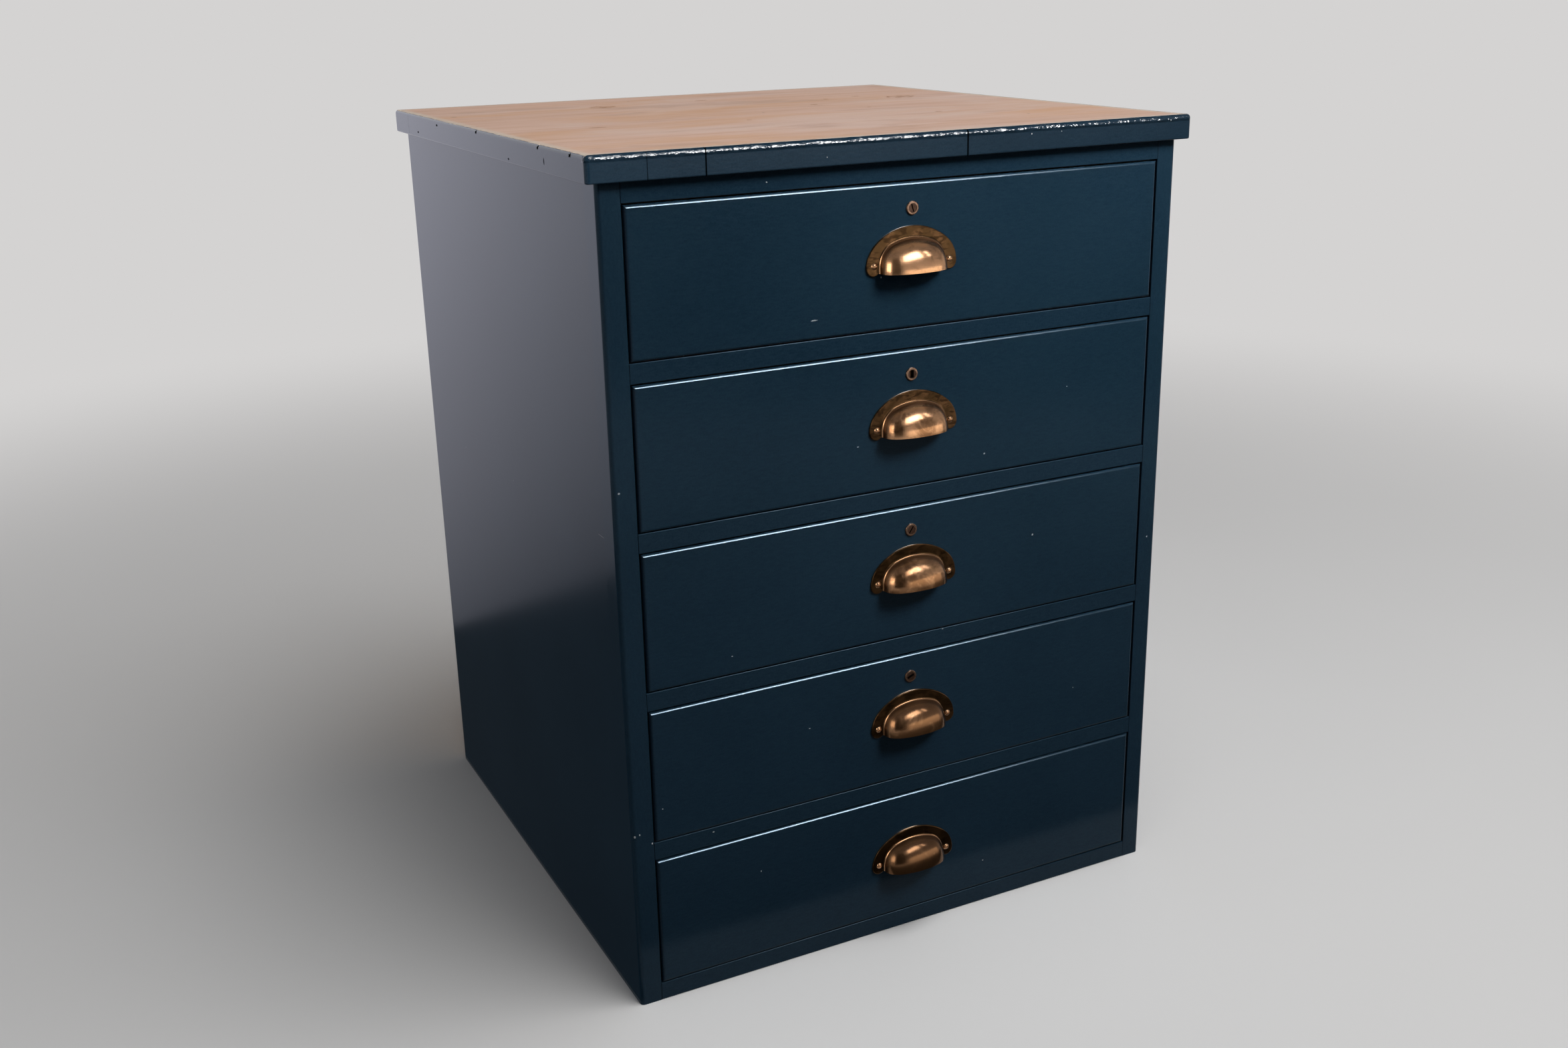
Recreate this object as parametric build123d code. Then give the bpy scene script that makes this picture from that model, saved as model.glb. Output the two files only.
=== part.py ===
from build123d import *
from math import sqrt
import os

# Chest of five equal locking drawers in a painted frame-and-panel body, in millimetres.
# X runs right along the front, Y runs back and Z up; y = 0 is the face of the front frame while
# modelling, and the finished pieces are set down with the origin under the middle of the chest.

# Body
body_width = 640.0
body_depth = 638.0
stile_width = 23.0
stile_depth = 30.0
side_thickness = 18.0
back_thickness = 6.0
back_rebate = 9.0
corner_radius = 4.5
arris_radius = 0.8
panel_tongue_thickness = 6.0
panel_tongue_length = 8.0

# Drawer openings and the rails between them
drawer_count = 5
opening_height = 144.0
rail_thickness = 19.5
front_rail_depth = 60.0
rear_rail_depth = 40.0
tenon_length = 10.0
tenon_thickness = 9.5
tenon_depth = 20.0
tenon_setback = 5.0

# Runners
runner_width = 27.0
guide_height = 18.0
stub_length = 10.0
stub_thickness = 6.5
stub_width = 16.0

# Drawer stops
stop_length = 40.0
stop_depth = 18.0
stop_height = 7.0
stop_spacing = 400.0

# Top board
top_thickness = 25.0
top_overhang_side = 11.5
top_overhang_front = 9.5
top_overhang_back = 8.5
top_corner_radius = 4.5
top_arris_radius = 4.0
top_lower_radius = 1.5

# Painted lippings round the top board: place and width of their open joints, and the nicks in the left arris
lipping_width = 8.0
front_joints = ((-274.3, 0.3), (-218.0, 0.8), (57.7, 0.9))
left_joints = ((584.9, 0.3),)
mitre_joint = 0.2
nick_places = (28.9, 115.7, 312.1)
nick_length = 5.0
nick_width = 1.2
nick_depth = 0.8
nick_slant = 30.0

# Screws that hold the top board
top_screw_radius = 2.2
top_screw_head_radius = 4.2
top_screw_head_height = 2.6
top_screw_bite = 15.0
top_screw_spacing = 230.0

# Clearances
running_gap = 0.3
hole_clearance = 0.05
front_gap_side = 1.8
front_gap_top = 1.5
front_gap_bottom = 0.8

# Drawer boxes
front_thickness = 20.0
front_proud = 1.0
front_arris_radius = 3.0
front_lap = 5.0
drawer_side_thickness = 11.0
drawer_side_headroom = 10.0
drawer_rear_gap = 37.0
drawer_back_thickness = 11.0
drawer_back_drop = 8.0
bottom_thickness = 5.0
bottom_lift = 10.0
groove_depth = 6.0

# Dovetails
front_tail_count = 4
rear_tail_count = 3
pin_width = 8.0
tail_slope = 1 / 7

# Cup pulls
pull_half_width = 50.8
pull_height = 43.5
pull_corner = 31.0
pull_crown = 62.0
flange_thickness = 2.0
flange_edge_radius = 0.8
cup_half_width = 36.5
cup_height = 32.0
cup_projection = 22.0
cup_corner = 22.0
cup_crown = 62.0
cup_wall = 1.4
cup_cove_radius = 2.0
cup_cove_sink = 0.45
pull_drop = 86.5
pull_shifts = (-0.3, 2.5, 3.3, 3.5, 3.9)

# Screws of the cup pulls
pull_screw_spacing = 85.0
pull_screw_rise = 7.5
pull_screw_radius = 1.7
pull_screw_length = 15.0
pull_screw_head_radius = 3.4
pull_screw_head_height = 1.7
pull_screw_slot = 0.9
pull_screw_clearance = 0.2

# Locks of the upper four drawers
lock_drop = 26.5
lock_shift = 0.5
nose_radius = 6.75
nose_proud = 1.5
nose_edge_radius = 0.9
barrel_radius = 5.9
barrel_length = 27.0
nut_across_flats = 17.0
nut_thickness = 4.0
plug_radius = 4.6
plug_clearance = 0.05
plug_recess = 0.4
tail_side = 5.4
rivet_radius = 3.8
rivet_height = 1.2
cam_thickness = 2.0
cam_width = 11.0
cam_reach = 35.5
mortise_clearance = 1.0
slot_length = 8.0
slot_depth = 6.0
slot_angles = (-17.0, 0.0, 34.0, 67.0)
slot_widths = (1.3, 4.4, 1.4, 2.6)

# Worked out from the sizes above
pitch = opening_height + rail_thickness
body_height = drawer_count * pitch + rail_thickness
opening_width = body_width - 2 * stile_width
inner_half = body_width / 2 - side_thickness
back_face = body_depth - back_thickness
rear_rail_front = back_face - rear_rail_depth
drawer_half = opening_width / 2 - front_gap_side
front_back = front_thickness - front_proud
box_half = drawer_half - drawer_side_thickness
drawer_rear = back_face - drawer_rear_gap
back_front = drawer_rear - drawer_back_thickness
barrel_end = barrel_length - front_proud
cam_start = barrel_end + running_gap
cam_end = cam_start + cam_thickness
pull_reach = front_proud + cup_projection
footprint_middle = (body_depth + top_overhang_back - pull_reach) / 2
lock_count = len(slot_angles)


def board(x, y, z):
    """A squared board between three pairs of coordinates."""
    middle = [(pair[0] + pair[1]) / 2 for pair in (x, y, z)]
    return Pos(*middle) * Box(x[1] - x[0], y[1] - y[0], z[1] - z[0])


def level(number):
    """Height of the underside of a rail, counted up from the floor."""
    return number * pitch


def floor_of(drawer):
    """Height of the rail that carries a drawer, the top drawer being number 1."""
    return level(drawer_count - drawer) + rail_thickness


def rod(radius, start, end):
    """A round bar along Y between two depths."""
    return extrude(Plane.XZ.offset(-start) * Circle(radius), start - end)


def tube_at(x, y, radius, low, high):
    """A round bar along Z, for the screws of the top board."""
    return extrude(Plane.XY.offset(low) * Pos(x, y) * Circle(radius), high - low)


# Body


def tenons():
    """Where a front rail enters the left stile, at every rail height."""
    x = (-opening_width / 2 - tenon_length, -opening_width / 2)
    y = (tenon_setback, tenon_setback + tenon_depth)
    inset = (rail_thickness - tenon_thickness) / 2
    lows = [level(n) + inset for n in range(drawer_count + 1)]
    return [board(x, y, (low, low + tenon_thickness)) for low in lows]


def panel_tongue():
    """The tongue that joins the left side panel to its stile."""
    middle = -body_width / 2 + side_thickness / 2
    half = panel_tongue_thickness / 2
    y = (stile_depth - panel_tongue_length, stile_depth)
    return board((middle - half, middle + half), y, (0, body_height))


def left_stile():
    """Full-height front post with a rounded outer corner, mortised for the rails."""
    post = board((-body_width / 2, -opening_width / 2), (0, stile_depth), (0, body_height))
    post = fillet(post.edges().filter_by(Axis.Z).group_by(Axis.Y)[0].sort_by(Axis.X)[0], corner_radius)
    post = fillet(post.edges().filter_by(Axis.Z).group_by(Axis.Y)[0].sort_by(Axis.X)[-1], arris_radius)
    return post - panel_tongue() - tenons()


def left_side_panel():
    """Side panel with a tongue in front and a rebate behind for the back panel."""
    outer, inner = -body_width / 2, -inner_half
    panel = board((outer, inner), (stile_depth, body_depth), (0, body_height)) + panel_tongue()
    return panel - board((inner - back_rebate, inner), (back_face, body_depth), (0, body_height))


def back_panel():
    """Thin panel let into the rebates of the sides."""
    half = inner_half + back_rebate
    return board((-half, half), (back_face, body_depth), (0, body_height))


def stubs(number, front):
    """The two stub tenons of the runners in the rail in front of or behind them."""
    inset = (rail_thickness - stub_thickness) / 2
    z = (level(number) + inset, level(number) + inset + stub_thickness)
    start = front_rail_depth - stub_length if front else rear_rail_front
    middle = inner_half - runner_width / 2
    left = board((-middle - stub_width / 2, -middle + stub_width / 2), (start, start + stub_length), z)
    return [left, mirror(left, Plane.YZ)]


def front_rail(number):
    """Rail across the front, tenoned into the stiles and notched behind them to reach the sides."""
    z = (level(number), level(number) + rail_thickness)
    face = board((-opening_width / 2, opening_width / 2), (0, stile_depth), z)
    face = fillet(face.edges().filter_by(Axis.X).group_by(Axis.Y)[0], arris_radius)
    tenon = tenons()[number]
    rail = face + board((-inner_half, inner_half), (stile_depth, front_rail_depth), z)
    rail = rail + tenon + mirror(tenon, Plane.YZ) - stubs(number, True)
    drawer_below = drawer_count - number + 1
    if 1 <= drawer_below <= lock_count:
        rail -= cam_mortise(level(number))
    return rail


def cam_mortise(underside):
    """Pocket that the cam of the lock below swings up into."""
    swing = sqrt(cam_reach ** 2 - lock_drop ** 2) + mortise_clearance
    x = (lock_shift - swing, lock_shift + cam_width / 2 + mortise_clearance)
    y = (cam_start - mortise_clearance, cam_end + mortise_clearance)
    return board(x, y, (underside, underside + cam_reach - lock_drop + mortise_clearance))


def rear_rail(number):
    """Plain rail against the back panel."""
    z = (level(number), level(number) + rail_thickness)
    return board((-inner_half, inner_half), (rear_rail_front, back_face), z) - stubs(number, False)


def left_runner(number):
    """Runner between the rails, with a guide above it that keeps the drawer clear of the side."""
    low, high = level(number), level(number) + rail_thickness
    y = (front_rail_depth, rear_rail_front)
    runner = board((-inner_half, -inner_half + runner_width), y, (low, high))
    if number < drawer_count:
        runner += board((-inner_half, -opening_width / 2), y, (low, high + guide_height))
    return runner + stubs(number, True)[0] + stubs(number, False)[0]


def drawer_stops():
    """Blocks on the front rails that the drawer fronts close against."""
    y = (front_back + running_gap, front_back + running_gap + stop_depth)
    blocks = []
    for drawer in range(1, drawer_count + 1):
        low = floor_of(drawer)
        for x in (-stop_spacing / 2, stop_spacing / 2):
            blocks.append(board((x - stop_length / 2, x + stop_length / 2), y, (low, low + stop_height)))
    return blocks


def top_screw_places():
    """Three screws through the front top rail and three through the rear one."""
    rows = ((stile_depth + front_rail_depth) / 2, (rear_rail_front + back_face) / 2)
    return [(x, y) for y in rows for x in (-top_screw_spacing, 0, top_screw_spacing)]


def top_screws(clearance=0.0):
    """Sunk-head screws driven up through the top rails into the top board; with a clearance, their holes."""
    low = level(drawer_count)
    screws = []
    for x, y in top_screw_places():
        shank = tube_at(x, y, top_screw_radius + clearance, low, body_height + top_screw_bite + clearance)
        head = tube_at(x, y, top_screw_head_radius + clearance, low, low + top_screw_head_height)
        screws.append(shank + head)
    return screws


def top_span():
    """Left and right, front and back edge of the top board."""
    half = body_width / 2 + top_overhang_side
    return (-half, half), (-top_overhang_front, body_depth + top_overhang_back)


def top_slab():
    """Overhanging slab with rounded corners and arrises, before it is parted into core and lippings."""
    slab = board(*top_span(), (body_height, body_height + top_thickness))
    slab = fillet(slab.edges().filter_by(Axis.Z), top_corner_radius)
    slab = fillet(slab.faces().sort_by(Axis.Z)[-1].edges(), top_arris_radius)
    return fillet(slab.faces().sort_by(Axis.Z)[0].edges(), top_lower_radius)


def lipping_joints():
    """Open joints between the lippings: butt joints in front and on the left, mitres at the corners."""
    (left, right), (front, back) = top_span()
    z = (body_height, body_height + top_thickness)
    joints = [board((x - gap / 2, x + gap / 2), (front, front + lipping_width), z) for x, gap in front_joints]
    joints += [board((left, left + lipping_width), (y - gap / 2, y + gap / 2), z) for y, gap in left_joints]
    mitre = Box(3 * lipping_width, mitre_joint, top_thickness)
    for x, y, turn in ((left, front, 45), (right, front, -45), (left, back, -45), (right, back, 45)):
        joints.append(Pos(x, y, sum(z) / 2) * Rot(0, 0, turn) * mitre)
    return joints


def nicks():
    """Slanting dents that knocks have left across the left upper arris."""
    inset = top_arris_radius * (1 - sqrt(0.5))
    x, z = top_span()[0][0] + inset, body_height + top_thickness - inset
    dent = Rot(0, -45, 0) * Rot(0, 0, nick_slant) * Box(nick_length, nick_width, 2 * nick_depth)
    return [Pos(x, y, z) * dent for y in nick_places]


def top_board():
    """Core board with its screw holes, and the lippings glued round its edge."""
    (left, right), (front, back) = top_span()
    core = board((left + lipping_width, right - lipping_width), (front + lipping_width, back - lipping_width),
                 (body_height, body_height + top_thickness))
    slab = top_slab()
    lippings = slab - core - lipping_joints() - nicks()
    return [(slab & core) - top_screws(hole_clearance), *lippings.solids()]


# Drawers


def tails(low, high, count, root, tip):
    """Dovetails of the left drawer side, flaring from their root to their tip along Y."""
    step = (high - low) / count
    half_tip = (step - pin_width) / 2
    half_root = half_tip - abs(tip - root) * tail_slope
    prisms = []
    for n in range(count):
        z = low + (n + 0.5) * step
        corners = [(root, z - half_root), (tip, z - half_tip), (tip, z + half_tip), (root, z + half_root)]
        outline = Plane.YZ.offset(-drawer_half) * make_face(Polyline(*corners, close=True))
        prisms.append(extrude(outline, drawer_side_thickness))
    return prisms


def side_span(base):
    """Lower and upper edge of the drawer sides."""
    return base + running_gap, base + opening_height - drawer_side_headroom


def front_tails(base):
    """Lapped dovetails that hold the sides in the drawer front."""
    return tails(*side_span(base), front_tail_count, front_back, front_lap - front_proud)


def rear_tails(base):
    """Through dovetails at the back of the drawer."""
    return tails(*back_span(base), rear_tail_count, back_front, drawer_rear)


def back_span(base):
    """Lower and upper edge of the drawer back, which stands on the bottom panel."""
    return base + bottom_lift + bottom_thickness, side_span(base)[1] - drawer_back_drop


def drawer_bottom(base):
    """Thin panel slid into grooves from behind, under the drawer back."""
    half = box_half + groove_depth
    low = base + bottom_lift
    return board((-half, half), (front_back - groove_depth, drawer_rear), (low, low + bottom_thickness))


def left_drawer_side(base):
    """Side board with its dovetails at both ends and the groove for the bottom."""
    x = (-drawer_half, -box_half)
    side = board(x, (front_back, back_front), side_span(base))
    side += board(x, (back_front, drawer_rear), (side_span(base)[0], back_span(base)[0]))
    return side + front_tails(base) + rear_tails(base) - drawer_bottom(base)


def drawer_back(base):
    """Back board with sockets for the tails of both sides."""
    sockets = rear_tails(base)
    back = board((-drawer_half, drawer_half), (back_front, drawer_rear), back_span(base))
    return back - sockets - [mirror(tail, Plane.YZ) for tail in sockets]


def drawer_front(number):
    """Thick front with rounded arrises, sockets, a groove and the bores for pull and lock."""
    base = floor_of(number)
    z = (base + front_gap_bottom, base + opening_height - front_gap_top)
    front = board((-drawer_half, drawer_half), (-front_proud, front_back), z)
    front = fillet(front.faces().sort_by(Axis.Y)[0].edges(), front_arris_radius)
    sockets = front_tails(base)
    front = front - sockets - [mirror(tail, Plane.YZ) for tail in sockets]
    front -= drawer_bottom(base)
    pilot = rod(pull_screw_radius + hole_clearance, -front_proud, pull_screw_length - front_proud)
    front -= [Pos(x, 0, z) * pilot for x, z in pull_screw_places(number)]
    if number <= lock_count:
        front -= lock_place(number) * rod(barrel_radius + hole_clearance, -front_proud, front_back)
    return front


# Cup pulls


def arch_points(half_width, height, corner, crown):
    """Height of the upright side, and the point where the corner arc runs into the crown arc."""
    centre = height - crown
    rise = centre + sqrt((crown - corner) ** 2 - (half_width - corner) ** 2)
    reach = crown / (crown - corner)
    return rise, ((half_width - corner) * reach, centre + (rise - centre) * reach)


def arch_lines(half_width, height, corner, crown):
    """The curved part of an arch from right to left: corner arc, crown arc, corner arc."""
    rise, (x, z) = arch_points(half_width, height, corner, crown)
    right = TangentArc((half_width, rise), (x, z), tangent=(0, 1))
    left = TangentArc((-half_width, rise), (-x, z), tangent=(0, 1))
    return right + ThreePointArc((x, z), (0, height), (-x, z)) + left


def cup_core(half_width, height, projection, corner, crown):
    """A quarter turn of the arch about the line of the lip, flattened to the cup's projection."""
    rise = arch_points(half_width, height, corner, crown)[0]
    foot = Polyline((-half_width, rise), (-half_width, 0), (half_width, 0), (half_width, rise))
    profile = make_face(arch_lines(half_width, height, corner, crown) + foot)
    return scale(revolve(Plane.XZ * profile, Axis.X, 90), by=(1, projection / height, 1))


def flange():
    """Arched band round the cup, ending in two round lobes for the screws."""
    inner_half_width = cup_half_width - cup_wall
    inner = (inner_half_width, cup_height - cup_wall, cup_corner - cup_wall, cup_crown - cup_wall)
    rise = arch_points(pull_half_width, pull_height, pull_corner, pull_crown)[0]
    inner_rise = arch_points(*inner)[0]
    lobe = (pull_half_width - inner_half_width) / 2
    outline = arch_lines(pull_half_width, pull_height, pull_corner, pull_crown) + arch_lines(*inner)
    for side in (-1, 1):
        bottom = (side * (pull_half_width - lobe), rise - lobe)
        outline += ThreePointArc((side * pull_half_width, rise), bottom, (side * inner_half_width, rise))
        outline += Line((side * inner_half_width, rise), (side * inner_half_width, inner_rise))
    plate = extrude(Plane.XZ * make_face(outline), flange_thickness)
    return fillet(plate.faces().sort_by(Axis.Y)[0].edges(), flange_edge_radius)


def cup_cove():
    """Concave blend between the cup and the face of its flange, swept round the foot of the cup."""
    rise = arch_points(cup_half_width, cup_height, cup_corner, cup_crown)[0]
    path = arch_lines(cup_half_width, cup_height, cup_corner, cup_crown)
    path += [Line((side * cup_half_width, 0), (side * cup_half_width, rise)) for side in (-1, 1)]
    reach = cup_cove_radius + cup_cove_sink
    seat = -flange_thickness
    outer, inner = cup_half_width + cup_cove_radius, cup_half_width - cup_cove_sink
    hollow = (outer - reach * sqrt(0.5), seat - reach + reach * sqrt(0.5))
    buried = (inner - cup_cove_sink, seat - reach), (inner - cup_cove_sink, seat / 2), (outer, seat / 2)
    section = ThreePointArc((outer, seat), hollow, (inner, seat - reach))
    section += Polyline((inner, seat - reach), *buried, (outer, seat))
    return sweep(make_face(section), path=Plane.XZ * path)


def cup_pull():
    """Hollow cup open below, coved into its flange; the origin is the middle of the lip line."""
    outer = cup_core(cup_half_width, cup_height, cup_projection, cup_corner, cup_crown)
    inner = cup_core(cup_half_width - cup_wall, cup_height - cup_wall, cup_projection - cup_wall,
                     cup_corner - cup_wall, cup_crown - cup_wall)
    hole = rod(pull_screw_radius + pull_screw_clearance, -flange_thickness, 0)
    holes = [Pos(side * pull_screw_spacing / 2, 0, pull_screw_rise) * hole for side in (-1, 1)]
    return flange() + (outer - inner) + cup_cove() - holes


def pull_place(number):
    """Where a pull sits on its drawer front; each one was set by hand, a little off the middle."""
    return Pos(pull_shifts[number - 1], -front_proud, floor_of(number) + opening_height - pull_drop)


def pull_screw_places(number):
    """Centres of the two screws of a pull."""
    middle = pull_place(number).position
    return [(middle.X + side * pull_screw_spacing / 2, middle.Z + pull_screw_rise) for side in (-1, 1)]


def pull_screw():
    """Slotted round-head screw along Y, its head seated on the flange."""
    seat = -flange_thickness
    crown = (pull_screw_head_radius ** 2 + pull_screw_head_height ** 2) / (2 * pull_screw_head_height)
    ball = Pos(0, seat - pull_screw_head_height + crown, 0) * Sphere(crown)
    head = ball & rod(crown, seat - pull_screw_head_height, seat)
    depth = pull_screw_head_height / 2
    top = seat - pull_screw_head_height
    slot = board((-crown, crown), (top, top + depth), (-pull_screw_slot / 2, pull_screw_slot / 2))
    return head + rod(pull_screw_radius, seat, pull_screw_length) - slot


def pull_screws(number):
    """The two screws of a pull."""
    screw = pull_screw()
    return [Pos(x, -front_proud, z) * screw for x, z in pull_screw_places(number)]


# Locks


def lock_place(number):
    """Axis of a lock in its drawer front."""
    return Pos(lock_shift, 0, floor_of(number) + opening_height - lock_drop)


def lock_barrel():
    """Barrel with a rounded nose, and the nut that clamps it behind the drawer front."""
    nose = rod(nose_radius, -front_proud - nose_proud, -front_proud)
    nose = fillet(nose.faces().sort_by(Axis.Y)[0].edges(), nose_edge_radius)
    bore = rod(plug_radius + plug_clearance, -front_proud - nose_proud, barrel_end)
    barrel = nose + rod(barrel_radius, -front_proud, barrel_end) - bore
    hexagon = RegularPolygon(nut_across_flats / 2, 6, major_radius=False) - Circle(barrel_radius)
    nut = extrude(Plane.XZ.offset(-front_back) * hexagon, -nut_thickness)
    return [barrel, nut]


def lock_plug(number):
    """Turning plug with its key slot, and the cam riveted to its square tail."""
    start = -front_proud - nose_proud + plug_recess
    plug = rod(plug_radius, start, cam_start)
    tail = board((-tail_side / 2, tail_side / 2), (cam_start, cam_end), (-tail_side / 2, tail_side / 2))
    width = slot_widths[number - 1]
    slot = board((-width / 2, width / 2), (start, start + slot_depth), (-slot_length / 2, slot_length / 2))
    plug = plug + tail + rod(rivet_radius, cam_end, cam_end + rivet_height)
    plug -= Rot(0, slot_angles[number - 1], 0) * slot
    return [plug, lock_cam() - tail]


def lock_cam():
    """Flat cam with round ends, pointing left in the unlocked rest position."""
    length = cam_reach - cam_width / 2
    outline = Circle(cam_width / 2) + Pos(-length, 0) * Circle(cam_width / 2)
    outline += Pos(-length / 2, 0) * Rectangle(length, cam_width)
    return extrude(Plane.XZ.offset(-cam_start) * outline, -cam_thickness)


def body_nodes():
    """The standing body of the chest: each node's name and its separate pieces."""
    floors = range(drawer_count + 1)
    holes = top_screws(hole_clearance)
    runners = [left_runner(n) for n in floors]
    nodes = {
        "top_board": top_board(),
        "side_panel_left": [left_side_panel()],
        "side_panel_right": [mirror(left_side_panel(), Plane.YZ)],
        "back_panel": [back_panel()],
        "stile_left": [left_stile()],
        "stile_right": [mirror(left_stile(), Plane.YZ)],
        "bottom_rail": [front_rail(0)],
        "top_rail": [front_rail(drawer_count) - holes],
        "rear_rails": [rear_rail(n) - holes for n in floors],
        "runners_left": runners,
        "runners_right": [mirror(runner, Plane.YZ) for runner in runners],
        "drawer_stops": drawer_stops(),
        "top_screws": top_screws(),
    }
    for number in range(1, drawer_count):
        nodes[f"drawer_rail_{number}"] = [front_rail(drawer_count - number)]
    return nodes


def drawer_nodes(number):
    """One drawer with its pull and, on the upper four, its lock."""
    base = floor_of(number)
    side = left_drawer_side(base)
    name = f"drawer_{number}"
    nodes = {
        f"{name}_front": [drawer_front(number)],
        f"{name}_side_left": [side],
        f"{name}_side_right": [mirror(side, Plane.YZ)],
        f"{name}_back": [drawer_back(base)],
        f"{name}_bottom": [drawer_bottom(base)],
        f"{name}_pull": [pull_place(number) * cup_pull()],
        f"{name}_pull_screws": pull_screws(number),
    }
    if number <= lock_count:
        place = lock_place(number)
        nodes[f"lock_{number}_barrel"] = [place * piece for piece in lock_barrel()]
        nodes[f"lock_{number}_plug"] = [place * piece for piece in lock_plug(number)]
    return nodes


def write_node(name, pieces):
    """Sets the pieces of a node down in the finished place and writes them to one file."""
    placed = [Pos(0, -footprint_middle, 0) * piece for piece in pieces]
    node = placed[0] if len(placed) == 1 else Compound(children=placed)
    node.label = name
    export_step(node, f"parts/{name}.step")


def main():
    os.makedirs("parts", exist_ok=True)
    nodes = body_nodes()
    for number in range(1, drawer_count + 1):
        nodes.update(drawer_nodes(number))
    for name, pieces in nodes.items():
        write_node(name, pieces)


main()
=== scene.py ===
"""Looks of the chest of five drawers: paint, bare top, brass pulls and locks, studio and camera.

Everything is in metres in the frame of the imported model: X right, Y back, Z up, origin under the
middle. Marks taken from the photograph are written in millimetres.
"""
from math import cos, radians, sin

import bmesh
import bpy
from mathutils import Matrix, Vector


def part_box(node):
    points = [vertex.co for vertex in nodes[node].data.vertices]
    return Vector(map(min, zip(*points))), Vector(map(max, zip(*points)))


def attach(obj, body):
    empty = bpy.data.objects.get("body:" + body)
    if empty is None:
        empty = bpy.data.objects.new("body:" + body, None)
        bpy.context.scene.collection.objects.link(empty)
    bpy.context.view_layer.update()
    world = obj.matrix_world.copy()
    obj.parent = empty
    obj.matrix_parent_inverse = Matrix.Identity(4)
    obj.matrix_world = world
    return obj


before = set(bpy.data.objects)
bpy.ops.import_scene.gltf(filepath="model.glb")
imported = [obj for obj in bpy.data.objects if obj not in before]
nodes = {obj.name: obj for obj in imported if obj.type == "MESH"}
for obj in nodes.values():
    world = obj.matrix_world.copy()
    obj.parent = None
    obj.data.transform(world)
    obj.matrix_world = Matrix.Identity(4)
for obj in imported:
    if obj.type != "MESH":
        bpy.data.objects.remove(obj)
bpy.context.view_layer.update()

MM = 0.001

# Places read from the frame
top_low, top_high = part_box("top_board")
back_low, back_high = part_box("back_panel")
stile_low, stile_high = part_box("stile_left")
frame_face = stile_low.y
front_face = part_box("drawer_1_front")[0].y
side_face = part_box("side_panel_left")[0].x
plug_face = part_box("lock_1_plug")[0].y
stile_joint = abs(stile_high.x)
drawer_numbers = range(1, 6)
lock_numbers = range(1, 5)
rails = ["bottom_rail", "top_rail"] + [f"drawer_rail_{n}" for n in range(1, 5)]
metal_ends = ("_pull", "_pull_screws", "_barrel", "_plug")
metal_names = [name for name in nodes if name.endswith(metal_ends)]
wood_names = [name for name in nodes if name not in metal_names]

# Colours, linear
HORIZON = (0.66, 0.65, 0.645)
ZENITH = (0.30, 0.30, 0.31)
FLOOR_TONES = ((0.60, 0.595, 0.59), (0.64, 0.635, 0.63))
FLOOR_AS_LIGHT = (0.10, 0.10, 0.10)
WALL_LOW_TONE = (0.97, 0.96, 1.10)
WALL_HIGH_TONE = (0.97, 0.96, 1.04)
WHITE = (1.0, 1.0, 1.0)
WARM = (1.0, 0.93, 0.82)
PAINT_DEEP = (0.0058, 0.0172, 0.0300)
PAINT_LIGHT = (0.0110, 0.0275, 0.0455)
PAINT_SHADOW = (0.001, 0.003, 0.005)
PAINT_GROOVE = (0.0015, 0.004, 0.007)
PRIMER = (0.42, 0.44, 0.44)
DULL_PRIMER = (0.085, 0.095, 0.105)
WORN_EDGE = (0.090, 0.030, 0.022)
# Near-black for dots and nicks on the left edge of the top; the nicks have no dent in the shape
NEAR_BLACK_MARK = (0.004, 0.005, 0.006)
TOP_WOOD = ((0.535, 0.372, 0.300), (0.500, 0.340, 0.268), (0.430, 0.280, 0.208))
TOP_ORANGE = (0.500, 0.290, 0.165)
TOP_CHALK = (0.530, 0.410, 0.365)
TOP_DULL = (0.375, 0.255, 0.200)
# Pale band along the edges of the bare top: partly wood tone, partly painted sheen of a pale wall
TOP_RIM_TONE_AND_SHEEN = (0.500, 0.440, 0.375)
TOP_PORES = (0.250, 0.150, 0.100)
DENT = (0.16, 0.14, 0.13)
STAIN = (0.225, 0.115, 0.060)
BOX_WOOD = ((0.560, 0.375, 0.215), (0.430, 0.265, 0.140), (0.270, 0.150, 0.075))
INNER_WOOD = ((0.430, 0.270, 0.150), (0.320, 0.190, 0.100), (0.200, 0.110, 0.055))
PLYWOOD = ((0.610, 0.440, 0.275), (0.500, 0.340, 0.200), (0.380, 0.240, 0.130))
POLISHED = (0.52, 0.290, 0.158)
WORN = (0.22, 0.112, 0.056)
BROWN = (0.052, 0.029, 0.013)
TARNISH = (0.022, 0.012, 0.006)
# Painted shade: the lower pulls are darkened towards this colour, as if less lit
LOWER_PULL_SHADE = (0.070, 0.038, 0.020)
CAM_BRASS = (0.38, 0.25, 0.14)
# Painted shade inside the keyway of the lock plugs
PAINTED_KEYWAY_SHADE = (0.006, 0.005, 0.004)
SCREW_BRASS = ((0.52, 0.31, 0.18), (0.30, 0.165, 0.09))
LOCK_BRASS = ((0.215, 0.140, 0.105), (0.12, 0.076, 0.054))
PLUG_BRONZE = ((0.075, 0.045, 0.035), (0.050, 0.029, 0.022))
STEEL = ((0.42, 0.42, 0.43), (0.28, 0.27, 0.26))

# Sizes of the finish
FRONT_PAINT_DEPTH = 9 * MM
STILE_PAINT_DEPTH = 40 * MM
RAIL_PAINT_DEPTH = 8 * MM
SIDE_PAINT_DEPTH = 12 * MM
TOP_LIPPING = 8 * MM
LEFT_NARROWER = 3.2 * MM
FRONT_NARROWER = 1.7 * MM
FLANGE_DEPTH = 2.2 * MM
CROWN_DEPTH = 14 * MM
NICK_DEPTH = 1.5 * MM

# Half depth of a mark, in millimetres like the marks themselves
SPOT_DEPTH = 3.0

# Half size of the floor, and strength of the surroundings as light on things
FLOOR_HALF = 8.0
WORLD_FILL = 0.36


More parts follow.
